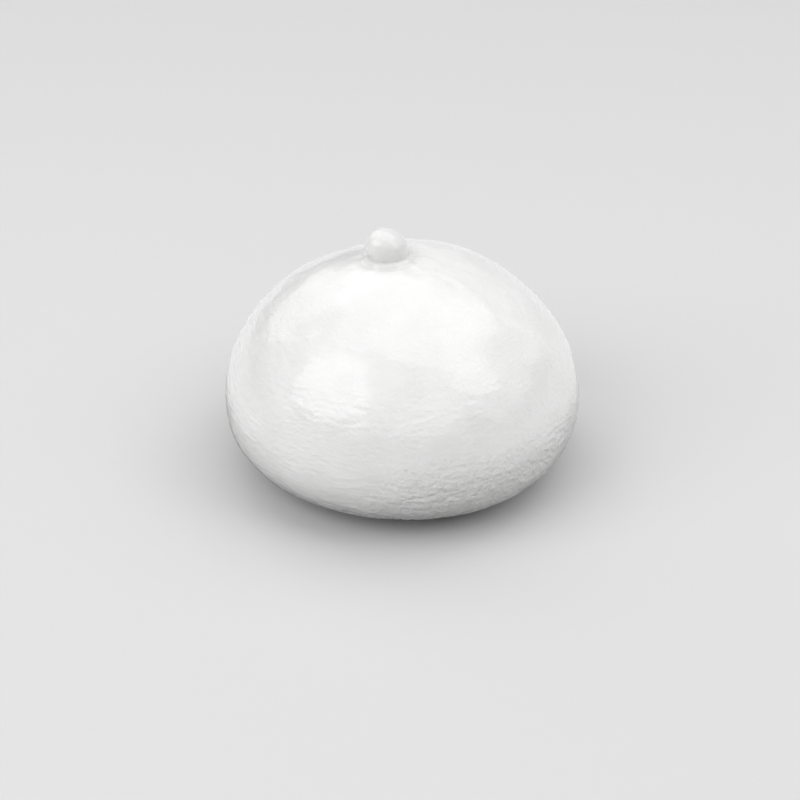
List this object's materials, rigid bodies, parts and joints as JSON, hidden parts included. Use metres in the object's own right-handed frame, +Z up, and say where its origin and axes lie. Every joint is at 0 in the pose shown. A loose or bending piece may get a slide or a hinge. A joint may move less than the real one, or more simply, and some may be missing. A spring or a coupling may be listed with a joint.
{
  "type": "mozzarella ball",
  "caption": "Fresh white mozzarella ball: a soft slumped dome of stretched curd with a small pinched knob on top and a flat spot underneath.",
  "frame": {"origin": "middle of the flat spot under the ball, at the bottom centre of its bounding box", "axes": "+Z up out of the plate towards the knob, -Y the front, +X to the right as seen from the front"},
  "size_m": [0.088, 0.088, 0.0615],
  "materials": {
    "fresh_cheese": "moist milky white curd with a wet, slightly wrinkled skin"
  },
  "bodies": {
    "root": {"mozzarella_ball": "fresh_cheese"}
  },
  "joints": []
}
